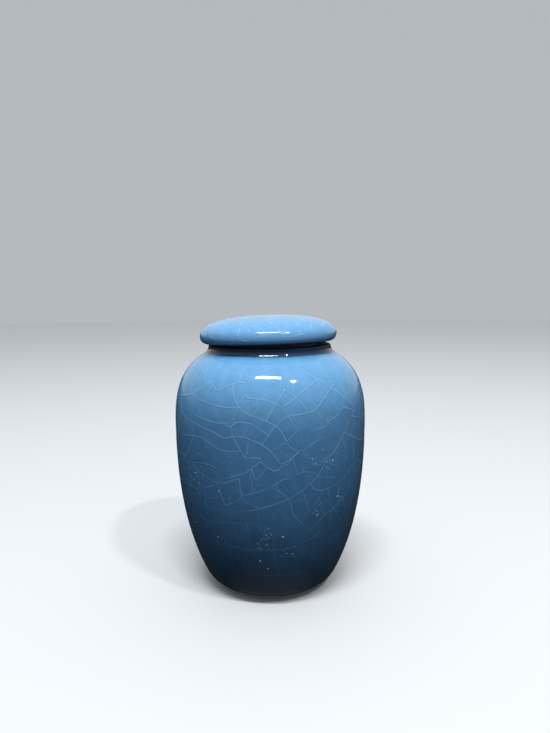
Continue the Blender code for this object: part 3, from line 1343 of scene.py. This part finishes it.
@dataclass(frozen=True)
class VeinMaker:
    """Lays cracks into the glaze as thin closed ridges, whose upper side takes the light and whose lower side
    has painted shade.
    """

    surface: TurnedSurface
    # Below the first height, and over the last few millimetres below the second, cracks are fainter.
    faint_below: float
    faint_above: float
    widen: float = 1.0
    proud: float = 0.06 * MM
    sunk: float = 0.01 * MM
    step: float = 1.0 * MM
    seed: int = 5

    def build(self, cracks: list[Crack], parts: MeshParts) -> None:
        """Builds every crack.

        A section has three corners: an edge, the crest and the other edge, and the edges lie just below
        the glaze. It is carried along the path and shrinks to a point at each end.

        Args:
            cracks: The cracks.
            parts: Where the shells go.
        """
        random = np.random.default_rng(self.seed)
        for crack in cracks:
            if len(crack.path) < 3:
                continue
            self.lay(crack, random, parts)

    def lay(self, crack: Crack, random: np.random.Generator, parts: MeshParts) -> None:
        """Builds one crack.

        Args:
            crack: The crack.
            random: Where its unevenness comes from.
            parts: Where the shell goes.
        """
        path = evenly(crack.path, self.step)
        vein = crack.rank.value
        count = len(path)
        ahead = np.gradient(path, axis=0)
        if isinstance(self.surface, WallSurface):
            ahead[:, 0] *= self.surface.radius_at(self.surface.polar(path)[1]) / self.surface.widest
        heading = np.arctan2(ahead[:, 1], ahead[:, 0])
        share = np.linspace(0, 1, count)
        fade = np.ones(count)
        for end, fades in enumerate(crack.fades):
            if fades:
                from_end = share if end == 0 else 1 - share
                fade *= np.clip(from_end / 0.45, 0, 1) ** 0.7
        slow = np.interp(share, np.linspace(0, 1, 7), random.uniform(0.62, 1.15, 7))
        height = self.surface.spots(path)[:, 2]
        deep = np.clip((self.faint_below - height) / (0.7 * max(self.faint_below, MM)), 0, 1)
        near_top = np.clip((self.faint_above - height) / (6 * MM), 0.3, 1)
        clear = vein.clear * slow * fade * near_top * (1 - 0.72 * deep)
        half = self.widen * vein.half_width * (0.75 + 0.25 * slow) * np.clip(fade, 0.35, 1)
        proud = self.proud * np.clip(clear, 0.15, 1)
        # How far each side faces down, from 0 to 1, which sets its painted shade.
        dark = np.clip(1.6 * np.stack([-np.cos(heading), np.cos(heading)]), 0.15, 1)
        left = self.surface.shift(path, heading + math.pi / 2, half * (1 + 0.3 * dark[0]))
        right = self.surface.shift(path, heading - math.pi / 2, half * (1 + 0.3 * dark[1]))
        rings = np.stack(
            [
                self.surface.spots(left, -self.sunk),
                self.surface.spots(path, proud),
                self.surface.spots(right, -self.sunk),
            ],
            1,
        ).reshape(-1, 3)
        tips = self.surface.spots(path[[0, -1]], -self.sunk)
        first, last = len(rings), len(rings) + 1
        corner = np.arange(3)
        beside = (corner + 1) % 3
        end = (count - 1) * 3
        fans = [
            np.stack([np.full(3, first), beside, corner], 1),
            np.stack([end + corner, end + beside, np.full(3, last)], 1),
        ]
        # The crack's value: 1 at the crest, and below 0 on each side as far as it faces down, for painted
        # shade.
        crest = np.stack([-dark[0], np.ones(count), -dark[1]], 1)
        parts.add(
            np.concatenate([rings, tips]),
            [grid_faces(count, 3)[:, ::-1], *fans],
            smooth=False,
            crackle=np.concatenate([(crest * clear[:, None]).ravel(), [0.0, 0.0]]),
        )


# White specks of dust on the jar's front, in the photograph's pixels, and patches of finer ones: the
# patch's left, top, right and bottom, and how many there are.
FRONT_DUST: tuple[Pixel, ...] = (
    (196, 473), (199, 483), (219, 491), (196, 522), (218, 537), (317, 515), (283, 537), (293, 554),
    (260, 561), (268, 569), (333, 460), (338, 496), (357, 502),
)
FRONT_DUST_PATCHES: tuple[tuple[int, int, int, int, int], ...] = (
    (256, 528, 272, 552, 22), (313, 500, 322, 520, 9), (335, 488, 344, 499, 9),
    (188, 464, 202, 486, 10), (308, 450, 336, 470, 16), (281, 545, 296, 558, 8),
)


@dataclass(frozen=True)
class Dust:
    """Specks of pale dust that cling to the glaze."""

    surface: TurnedSurface
    pixels: tuple[Pixel, ...]
    patches: tuple[tuple[int, int, int, int, int], ...]
    camera: PhotoCamera
    large: float = 0.34 * MM
    small: float = 0.17 * MM
    sides: int = 7
    seed: int = 3

    def build(self, parts: MeshParts) -> None:
        """Builds every speck as a low closed dome.

        A speck is a ring of corners on the glaze, with uneven radii, a point above its middle and one
        below.

        Args:
            parts: Where the shells go.
        """
        random = np.random.default_rng(self.seed)
        spots = [np.array(self.pixels, float)]
        sizes = [random.uniform(0.8, 1.2, len(self.pixels)) * self.large]
        for left, top, right, bottom, count in self.patches:
            spots.append(random.uniform((left, top), (right, bottom), (count, 2)))
            sizes.append(random.uniform(0.6, 1.3, count) * self.small)
        places = self.camera.land(np.concatenate(spots), self.surface)
        radii = np.concatenate(sizes)
        count = len(places)
        turn = (np.arange(self.sides) / self.sides * math.tau)[None] + random.uniform(0, 1, (count, 1))
        reach = radii[:, None] * random.uniform(0.75, 1.2, (count, self.sides))
        rim = self.surface.shift(
            np.repeat(places, self.sides, 0), turn.ravel(), reach.ravel()
        )
        ring = self.surface.spots(rim, -0.006 * MM).reshape(count, self.sides, 3)
        above = self.surface.spots(places, 0.05 * MM)[:, None]
        below = self.surface.spots(places, -0.03 * MM)[:, None]
        each = self.sides + 2
        corner = np.arange(self.sides)
        beside = (corner + 1) % self.sides
        upper = np.stack([corner, beside, np.full(self.sides, self.sides)], 1)
        lower = np.stack([beside, corner, np.full(self.sides, self.sides + 1)], 1)
        faces = np.concatenate([upper, lower])[None] + (np.arange(count) * each)[:, None, None]
        vertices = np.concatenate([ring, above, below], 1).reshape(-1, 3)
        parts.add(vertices, [faces.reshape(-1, 3)], dust=np.ones(len(vertices)))


@dataclass(frozen=True)
class Sheet:
    """A material's node tree, and short ways to add to it."""

    material: bpy.types.Material

    @classmethod
    def new(cls, name: str) -> "Sheet":
        """Makes a material with its Principled shader."""
        made = bpy.data.materials.new(name)
        made.use_nodes = True
        return cls(made)

    @property
    def shader(self) -> bpy.types.Node:
        """The Principled shader."""
        return self.material.node_tree.nodes["Principled BSDF"]

    def node(self, kind: str, inputs: dict[str | int, object], **settings: object) -> bpy.types.Node:
        """Adds a node.

        Args:
            kind: Its type, without the leading ShaderNode.
            inputs: What each input takes: another node's output, or a plain value.
            settings: The node's own properties.

        Returns:
            The node.
        """
        made = self.material.node_tree.nodes.new("ShaderNode" + kind)
        for name, value in settings.items():
            setattr(made, name, value)
        for name, value in inputs.items():
            self.feed(made.inputs[name], value)
        return made

    def feed(self, socket: bpy.types.NodeSocket, value: object) -> None:
        """Links an output to an input, or sets the input's own value."""
        if isinstance(value, bpy.types.NodeSocket):
            self.material.node_tree.links.new(value, socket)
        else:
            socket.default_value = value

    def number(self, way: str, first: object, second: object = 0.0) -> bpy.types.NodeSocket:
        """A Math node's output."""
        return self.node("Math", {0: first, 1: second}, operation=way).outputs[0]

    def product(self, first: object, second: object) -> bpy.types.NodeSocket:
        """Two values multiplied."""
        return self.number("MULTIPLY", first, second)

    def spread(
        self, value: object, low: float, high: float, to: tuple[float, float]
    ) -> bpy.types.NodeSocket:
        """Maps a value from one range onto another, smoothly, and holds it there."""
        inputs = {"Value": value, "From Min": low, "From Max": high, "To Min": to[0], "To Max": to[1]}
        return self.node("MapRange", inputs, interpolation_type="SMOOTHSTEP").outputs[0]

    def mix(
        self, share: object, first: object, second: object, way: str = "MIX"
    ) -> bpy.types.NodeSocket:
        """Mixes two colours."""
        made = self.node("Mix", {0: share}, data_type="RGBA", blend_type=way)
        for socket, value in ((made.inputs[6], first), (made.inputs[7], second)):
            full = (*value, 1.0) if isinstance(value, tuple) and len(value) == 3 else value
            self.feed(socket, full)
        return made.outputs[2]

    def noise(self, place: object, scale: float, detail: float = 2.0) -> bpy.types.NodeSocket:
        """Noise in space, from 0 to 1."""
        inputs = {"Vector": place, "Scale": scale, "Detail": detail, "Roughness": 0.55}
        return self.node("TexNoise", inputs).outputs[0]

    def held(self, name: str) -> bpy.types.NodeSocket:
        """The value that the mesh holds under this name."""
        return self.node("Attribute", {}, attribute_name=name).outputs["Fac"]


@dataclass(frozen=True)
class CrackleGlaze:
    """A glossy blue crackle glaze over pale stoneware, which is bare where the potter wiped it."""

    # deep, body and light are painted shade and light by height: dark at the foot, light at the shoulder and
    # the lid. light is also the colour of glaze that lies thin over an edge.
    deep: Colour = (0.024, 0.064, 0.122)
    body: Colour = (0.068, 0.198, 0.395)
    light: Colour = (0.150, 0.388, 0.680)
    # Near black: painted shade under the lid and on the rim, and the colour of glaze that lies thick in
    # hollows.
    pool_and_shade: Colour = (0.001, 0.020, 0.062)
    # Painted shade multiplied onto the side of each crack's ridge that faces down.
    ridge_shade: Colour = (0.25, 0.36, 0.46)
    vein: Colour = (0.25, 0.51, 0.80)
    vein_share: float = 0.62
    dust: Colour = (0.55, 0.88, 1.0)
    clay: Colour = (0.58, 0.50, 0.41)
    gloss: float = 0.07
    matt: float = 0.85
    foot_z: float = 0.0
    top_z: float = 0.1

    def material(self, name: str) -> bpy.types.Material:
        """Makes the glaze.

        The colour runs from deep at the foot to light at the shoulder, with slow drifts: painted shade low
        down and painted light from above. It pales where it lies thin over an edge, and along each crack. It
        is painted near black as shade under the lid and on the rim, and each crack's side that faces down has
        painted shade.

        Args:
            name: The material's name.

        Returns:
            The material.
        """
        sheet = Sheet.new(name)
        place = sheet.node("TexCoord", {}).outputs["Object"]
        height = sheet.node("SeparateXYZ", {0: place}).outputs[2]
        drift = sheet.noise(place, 38.0, 3.0)
        cloud = sheet.noise(place, 260.0, 3.0)
        # Painted shade towards the foot and painted light towards the shoulder and the lid, by height with
        # slow drifts.
        tall = self.top_z - self.foot_z
        run = sheet.number("ADD", height, sheet.product(drift, 0.22 * tall))
        low = self.foot_z + 0.11 * tall
        below = sheet.spread(run, low, low + 0.62 * tall, (0.0, 1.0))
        above = sheet.spread(run, low + 0.54 * tall, low + 0.95 * tall, (0.0, 1.0))
        colour = sheet.mix(above, sheet.mix(below, self.deep, self.body), self.light)
        shade = sheet.spread(cloud, 0.25, 0.75, (0.93, 1.07))
        grey = sheet.node("CombineColor", {0: shade, 1: shade, 2: shade}).outputs[0]
        colour = sheet.mix(1.0, colour, grey, "MULTIPLY")
        thin = sheet.held("thin")
        colour = sheet.mix(sheet.spread(thin, 0.1, 1.0, (0.0, 0.35)), colour, self.light)
        # Painted shade where thin is -1: near black in the neck under the lid, under the lid's edge and on
        # the rim. It is milder in hollows, where the glaze lies thick.
        colour = sheet.mix(sheet.spread(thin, -0.1, -1.0, (0.0, 0.94)), colour, self.pool_and_shade)
        held = sheet.held("crackle")
        crackle = sheet.spread(held, 0.0, 1.0, (0.0, self.vein_share))
        colour = sheet.mix(crackle, colour, self.vein)
        # Painted shade on the side of each crack's ridge that faces down.
        ridge_shade = sheet.spread(held, 0.0, -1.0, (0.0, 1.0))
        colour = sheet.mix(ridge_shade, colour, self.ridge_shade, "MULTIPLY")
        dust = sheet.held("dust")
        colour = sheet.mix(dust, colour, self.dust)
        wiped = sheet.held("bare")
        bare = sheet.spread(wiped, 0.35, 0.65, (0.0, 1.0))
        dry = sheet.spread(wiped, 0.1, 0.3, (0.0, 1.0))
        grain = sheet.noise(place, 1400.0, 4.0)
        coarse = sheet.spread(grain, 0.3, 0.7, (0.0, 1.0))
        clay = sheet.mix(coarse, self.clay, tuple(0.8 * part for part in self.clay))
        colour = sheet.mix(bare, colour, clay)
        sheet.feed(sheet.shader.inputs["Base Color"], colour)
        glaze = sheet.spread(cloud, 0.2, 0.8, (self.gloss - 0.02, self.gloss + 0.03))
        dull = sheet.number("ADD", glaze, sheet.product(crackle, 0.12))
        rough = sheet.number("MAXIMUM", dry, dust)
        rough = sheet.number("MAXIMUM", dull, sheet.product(rough, self.matt))
        sheet.feed(sheet.shader.inputs["Roughness"], rough)
        ripple = sheet.noise(place, 420.0, 2.0)
        rough_clay = sheet.product(sheet.product(grain, bare), 4.0)
        relief = sheet.number("ADD", sheet.product(ripple, 0.12), rough_clay)
        bump = sheet.node("Bump", {"Strength": 0.35, "Distance": 0.02 * MM, "Height": relief})
        sheet.feed(sheet.shader.inputs["Normal"], bump.outputs[0])
        sheet.shader.inputs["IOR"].default_value = 1.52
        return sheet.material


@dataclass
class Jar:
    """The urn's body."""

    form: JarForm
    relief: GlazeRelief = field(default_factory=GlazeRelief)
    around: int = 248

    def __post_init__(self) -> None:
        """Lays the chart over the outside."""
        self.surface = WallSurface(self.form.glazed(), Pose(), self.relief)
        heights = self.surface.outline[:, 1]
        self.hollow = float(np.interp(self.form.neck_shade_z, heights, self.surface.along))

    def crackle(self, camera: PhotoCamera) -> list[Crack]:
        """The jar's cracks: drawn at the front, grown all round, and the faint sheaves."""
        growth = CrackleGrowth(self.surface, 3 * MM, self.hollow - 0.5 * MM, seed=21)
        growth.keep_calm(((246, 371), (300, 388)), camera)
        growth.draw(FRONT_ENDED, camera)
        growth.draw(FRONT_CRACKS, camera, longest=30 * MM)
        growth.draw(FRONT_CROSSES, camera, CrackRank.CROSS)
        growth.draw_combs(FRONT_COMBS, camera)
        growth.fill(2.6 * MM, 4.6 * MM)
        growth.comb(70)
        growth.fill(1.6 * MM, 3.0 * MM, CrackRank.FINE)
        return growth.cracks + growth.hairs

    def build(self, camera: PhotoCamera, glaze: CrackleGlaze) -> bpy.types.Object:
        """Builds the jar.

        Args:
            camera: The photograph's camera, which places the drawn cracks.
            glaze: The finish.

        Returns:
            The finished object.
        """
        parts = MeshParts()
        before = np.concatenate([self.form.inside(), self.form.rim()[1:-1]])
        rim = len(self.form.rim()) - 2
        # The rim is partly bare, so matt. Skin paints it as dark shade in the gap under the lid.
        bare = np.concatenate([np.ones(len(before) - rim), np.full(rim, 0.24)])
        form = self.form
        skin = Skin(self.surface, before, form.foot(), form.fine, self.around, bare, self.hollow)
        skin.build(parts)
        VeinMaker(self.surface, form.belly_z, form.neck_shade_z).build(self.crackle(camera), parts)
        Dust(self.surface, FRONT_DUST, FRONT_DUST_PATCHES, camera).build(parts)
        made = parts.build("urn_jar")
        made.data.materials.append(glaze.material("jar_glaze"))
        return made


@dataclass
class Lid:
    """The lift-off lid."""

    form: LidForm
    relief: GlazeRelief = field(default_factory=lambda: GlazeRelief(depth=0.025 * MM, seed=29))
    around: int = 240

    def __post_init__(self) -> None:
        """Lays the chart over the outside."""
        self.surface = CapSurface(self.form.glazed(), self.form.pose, self.relief)

    def crackle(self, camera: PhotoCamera) -> list[Crack]:
        """The lid's cracks: a few drawn along its front edge, and the rest grown."""
        growth = CrackleGrowth(self.surface, 0.0, self.surface.length - 2 * MM, seed=8)
        growth.draw(LID_CRACKS, camera)
        growth.fill(3.0 * MM, 5.0 * MM)
        growth.comb(14)
        growth.fill(1.6 * MM, 2.6 * MM, CrackRank.FINE)
        return growth.cracks + growth.hairs

    def build(self, camera: PhotoCamera, glaze: CrackleGlaze) -> bpy.types.Object:
        """Builds the lid.

        Args:
            camera: The photograph's camera, which places the drawn cracks.
            glaze: The finish.

        Returns:
            The finished object.
        """
        parts = MeshParts()
        none = np.empty((0, 2))
        widest = float(self.surface.along[self.surface.outline[:, 0].argmax()])
        skin = Skin(
            self.surface,
            none,
            self.form.hidden(),
            self.form.fine,
            self.around,
            none,
            # Painted shade under the lid's edge begins a little below its widest point.
            widest + self.form.edge * 0.44,
        )
        skin.build(parts)
        VeinMaker(self.surface, 0.0, 1.0, widen=1.1).build(self.crackle(camera), parts)
        made = parts.build("urn_lid")
        made.data.materials.append(glaze.material("lid_glaze"))
        return made


@dataclass(frozen=True)
class Lamp:
    """A flat lamp aimed at the urn, placed by its direction from there."""

    name: str
    across: float
    bearing: float
    elevation: float
    width: float
    depth: float
    watts: float
    colour: Colour = (1.0, 1.0, 1.0)

    def build(self, target: Vector) -> bpy.types.Object:
        """Makes the lamp.

        Args:
            target: What it shines at.

        Returns:
            The lamp object.
        """
        data = bpy.data.lights.new(self.name, "AREA")
        data.shape = "RECTANGLE"
        data.size, data.size_y = self.width, self.depth
        data.energy, data.color = self.watts, self.colour
        bearing, elevation = math.radians(self.bearing), math.radians(self.elevation)
        towards = Vector(
            (
                math.sin(bearing) * math.cos(elevation),
                -math.cos(bearing) * math.cos(elevation),
                math.sin(elevation),
            )
        )
        made = bpy.data.objects.new(self.name, data)
        made.location = target + towards * self.across
        made.rotation_euler = towards.to_track_quat("Z", "Y").to_euler()
        bpy.context.scene.collection.objects.link(made)
        return made


@dataclass(frozen=True)
class Studio:
    """A pale floor, a pale backdrop all round, soft light from above and a few lamps."""

    floor_half: float = 3.0
    floor_colour: Colour = (0.72, 0.73, 0.74)
    backdrop_radius: float = 2.8
    backdrop_colour: Colour = (0.452, 0.483, 0.508)
    ceiling_light: Colour = (0.70, 0.765, 0.83)
    level_light: Colour = (0.10, 0.11, 0.12)
    ground_light: Colour = (0.020, 0.020, 0.020)
    # The light from straight below, which only the heel mirrors.
    nadir_light: Colour = (0.16, 0.155, 0.15)
    # The light from behind the urn, level with it, which its top and its edges mirror.
    back_light: Colour = (0.72, 0.71, 0.69)
    lamps: tuple[Lamp, ...] = (
        Lamp("strip", 1.2, -4, 67, 0.48, 0.09, 10.0, (0.94, 0.97, 1.0)),
        Lamp("spot", 1.2, 41, 54, 0.075, 0.04, 3.4, (1.0, 0.97, 0.92)),
    )

    def build(self, target: Vector) -> None:
        """Makes the floor, the room and the lamps.

        Args:
            target: What the lamps shine at.
        """
        half = self.floor_half
        mesh = bpy.data.meshes.new("studio_floor")
        corners = [(-half, -half, 0), (half, -half, 0), (half, half, 0), (-half, half, 0)]
        mesh.from_pydata(corners, [], [(0, 1, 2, 3)])
        floor = bpy.data.objects.new("studio_floor", mesh)
        bpy.context.scene.collection.objects.link(floor)
        sheet = Sheet.new("studio_floor")
        sheet.shader.inputs["Base Color"].default_value = (*self.floor_colour, 1.0)
        sheet.shader.inputs["Roughness"].default_value = 0.7
        mesh.materials.append(sheet.material)
        backdrop = self.backdrop()
        for seen in (floor, backdrop):
            seen.visible_diffuse = False
            seen.visible_glossy = False
        backdrop.visible_shadow = False
        self.room()
        for lamp in self.lamps:
            lamp.build(target)
        bpy.context.scene.view_settings.view_transform = "Standard"

    def backdrop(self) -> bpy.types.Object:
        """Makes the pale sphere that the camera sees behind the urn, and that lights nothing."""
        mesh = bpy.data.meshes.new("studio_backdrop")
        shape = bmesh.new()
        bmesh.ops.create_uvsphere(
            shape, u_segments=48, v_segments=24, radius=self.backdrop_radius
        )
        shape.to_mesh(mesh)
        shape.free()
        mesh.shade_smooth()
        sheet = Sheet.new("studio_backdrop")
        sheet.shader.inputs["Base Color"].default_value = (0, 0, 0, 1)
        sheet.shader.inputs["Emission Color"].default_value = (*self.backdrop_colour, 1.0)
        sheet.shader.inputs["Emission Strength"].default_value = 1.0
        mesh.materials.append(sheet.material)
        made = bpy.data.objects.new("studio_backdrop", mesh)
        bpy.context.scene.collection.objects.link(made)
        return made

    def room(self) -> None:
        """Sets the light from all round: bright above, dimmer level with the urn, and dark below."""
        world = bpy.data.worlds.new("studio_room")
        world.use_nodes = True
        nodes, links = world.node_tree.nodes, world.node_tree.links
        place = nodes.new("ShaderNodeTexCoord")
        parts = nodes.new("ShaderNodeSeparateXYZ")
        ramp = nodes.new("ShaderNodeValToRGB")
        half_up = nodes.new("ShaderNodeMath")
        half_up.operation = "MULTIPLY_ADD"
        half_up.inputs[1].default_value = 0.5
        half_up.inputs[2].default_value = 0.5
        stops = (
            (0.0, self.nadir_light),
            (0.09, self.ground_light),
            (0.47, self.ground_light),
            (0.53, self.level_light),
            (1.0, self.ceiling_light),
        )
        for at, colour in stops:
            found = [element for element in ramp.color_ramp.elements if element.position == at]
            stop = found[0] if found else ramp.color_ramp.elements.new(at)
            stop.color = (*colour, 1.0)
        behind = nodes.new("ShaderNodeMapRange")
        behind.interpolation_type = "SMOOTHSTEP"
        behind.inputs["From Max"].default_value = 0.9
        above = nodes.new("ShaderNodeMapRange")
        above.inputs["From Max"].default_value = 0.04
        share = nodes.new("ShaderNodeMath")
        share.operation = "MULTIPLY"
        mixed = nodes.new("ShaderNodeMix")
        mixed.data_type = "RGBA"
        mixed.inputs[7].default_value = (*self.back_light, 1.0)
        links.new(place.outputs["Generated"], parts.inputs[0])
        links.new(parts.outputs["Z"], half_up.inputs[0])
        links.new(half_up.outputs[0], ramp.inputs[0])
        links.new(parts.outputs["Y"], behind.inputs["Value"])
        links.new(parts.outputs["Z"], above.inputs["Value"])
        links.new(behind.outputs[0], share.inputs[0])
        links.new(above.outputs[0], share.inputs[1])
        links.new(share.outputs[0], mixed.inputs[0])
        links.new(ramp.outputs[0], mixed.inputs[6])
        links.new(mixed.outputs[2], nodes["Background"].inputs["Color"])
        bpy.context.scene.world = world


def main() -> None:
    """Builds the urn's pieces, then the studio."""
    logging.basicConfig(level=logging.INFO, format="%(message)s")
    camera = PhotoCamera()
    camera.build()
    jar_low, jar_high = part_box("jar")
    jar = Jar(JarForm(belly_r=(jar_high[0] - jar_low[0]) / 2, rim_z=jar_high[2]))
    lid = Lid(LidForm(rim_z=jar.form.rim_z, rim_r=jar.form.neck_r))
    glaze = CrackleGlaze(top_z=jar_high[2])
    pale = replace(glaze, vein=(0.42, 0.70, 0.96), vein_share=0.55)
    for sub_part, node, finish in ((jar, "jar", glaze), (lid, "lid", pale)):
        piece = sub_part.build(camera, finish)
        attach(piece, "root")
        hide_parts(node)
        log.info("%s: %d faces", piece.name, len(piece.data.polygons))
    Studio().build(Vector((0.0, 0.0, jar_high[2] / 2)))


if __name__ == "__main__":
    main()
